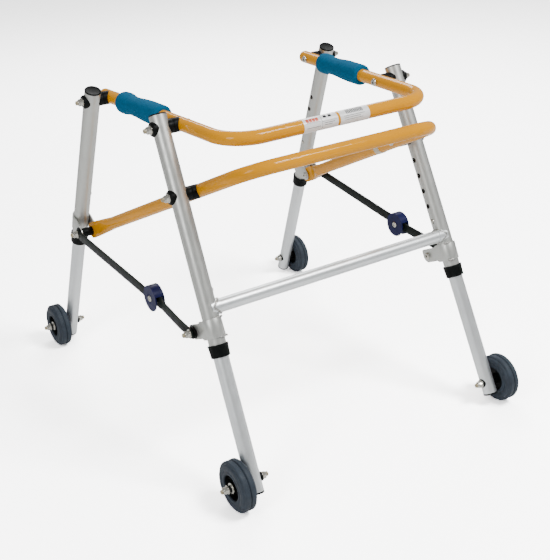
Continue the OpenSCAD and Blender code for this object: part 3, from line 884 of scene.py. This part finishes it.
def make_camera():
    """Stands where the walker is seen from its right front, a little above it."""
    azimuth, elevation, roll = map(math.radians, CAMERA_ANGLES)
    back = Vector(
        (
            math.sin(azimuth) * math.cos(elevation),
            -math.cos(azimuth) * math.cos(elevation),
            math.sin(elevation),
        )
    )
    level = Vector((math.cos(azimuth), math.sin(azimuth), 0))
    over = back.cross(level)
    right = level * math.cos(roll) + over * math.sin(roll)
    up = over * math.cos(roll) - level * math.sin(roll)
    data = bpy.data.cameras.new("camera")
    data.sensor_width = SENSOR_WIDTH
    data.lens = CAMERA_LENS
    camera = bpy.data.objects.new("camera", data)
    matrix = Matrix((right, up, back)).transposed().to_4x4()
    matrix.translation = CAMERA_PLACE
    camera.matrix_world = matrix
    bpy.context.scene.collection.objects.link(camera)
    bpy.context.scene.camera = camera


def area_light(name, position, size, power):
    """A white softbox that looks at the walker."""
    data = bpy.data.lights.new(name, "AREA")
    data.shape = "RECTANGLE"
    data.size, data.size_y = size
    data.energy = power
    light = bpy.data.objects.new(name, data)
    light.location = position
    aim = Vector(LIGHT_AIM) - Vector(position)
    light.rotation_mode = "QUATERNION"
    light.rotation_quaternion = aim.to_track_quat("-Z", "Y")
    bpy.context.scene.collection.objects.link(light)


def camera_or_else(tree, seen, otherwise):
    """A value that is one number for the camera and another for all other rays."""
    rays = tree.nodes.new("ShaderNodeLightPath")
    level = tree.nodes.new("ShaderNodeMapRange")
    level.inputs["To Min"].default_value = otherwise
    level.inputs["To Max"].default_value = seen
    tree.links.new(rays.outputs["Is Camera Ray"], level.inputs["Value"])
    return level.outputs["Result"]


def make_light():
    """White studio: a dim world that the camera sees bright, and three softboxes."""
    world = bpy.data.worlds.new("studio")
    world.use_nodes = True
    tree = world.node_tree
    background = tree.nodes["Background"]
    background.inputs["Color"].default_value = (1, 1, 1, 1)
    strength = camera_or_else(tree, BACKDROP_LEVEL, WORLD_LEVEL)
    tree.links.new(strength, background.inputs["Strength"])
    bpy.context.scene.world = world
    area_light("key", (0.9, -1.4, 2.4), size=(1.0, 0.8), power=70)
    area_light("fill", (-2.2, -1.0, 1.5), size=(0.8, 1.2), power=24)
    area_light("back", (1.2, 2.0, 2.0), size=(1.6, 0.8), power=34)


def make_floor():
    """Pale floor, which the camera sees nearly white, with soft shadows."""
    builder = bmesh.new()
    bmesh.ops.create_grid(builder, x_segments=1, y_segments=1, size=FLOOR_HALF)
    mesh = bpy.data.meshes.new("floor")
    builder.to_mesh(mesh)
    builder.free()
    floor = bpy.data.objects.new("floor", mesh)
    shader = Shader("floor", (FLOOR_COLOUR,) * 3, 0.8)
    grain = shader.ramp(shader.noise(3, 3), [(0.3, (0.995,) * 3), (0.7, (1, 1, 1))])
    scaled = shader.add("ShaderNodeVectorMath", operation="SCALE")
    shader.link(grain, scaled.inputs[0])
    level = camera_or_else(shader.tree, FLOOR_SEEN, FLOOR_COLOUR)
    shader.link(level, scaled.inputs["Scale"])
    diffuse = shader.add("ShaderNodeBsdfDiffuse")
    shader.link(scaled.outputs["Vector"], diffuse.inputs["Color"])
    output = shader.tree.nodes["Material Output"]
    shader.link(diffuse.outputs["BSDF"], output.inputs["Surface"])
    mesh.materials.append(shader.material)
    bpy.context.scene.collection.objects.link(floor)


finish_nodes()
for end in ENDS:
    for side in SIDES:
        make_tyre(end, side)
        make_rim(end, side)
for side in SIDES:
    make_grip(side)
make_inserts()
make_crossbar_welds()
make_clamp_welds()
make_label()
for name in NODES:
    if name.startswith(SOFTENED_KINDS):
        softened(name)
make_camera()
make_light()
make_floor()
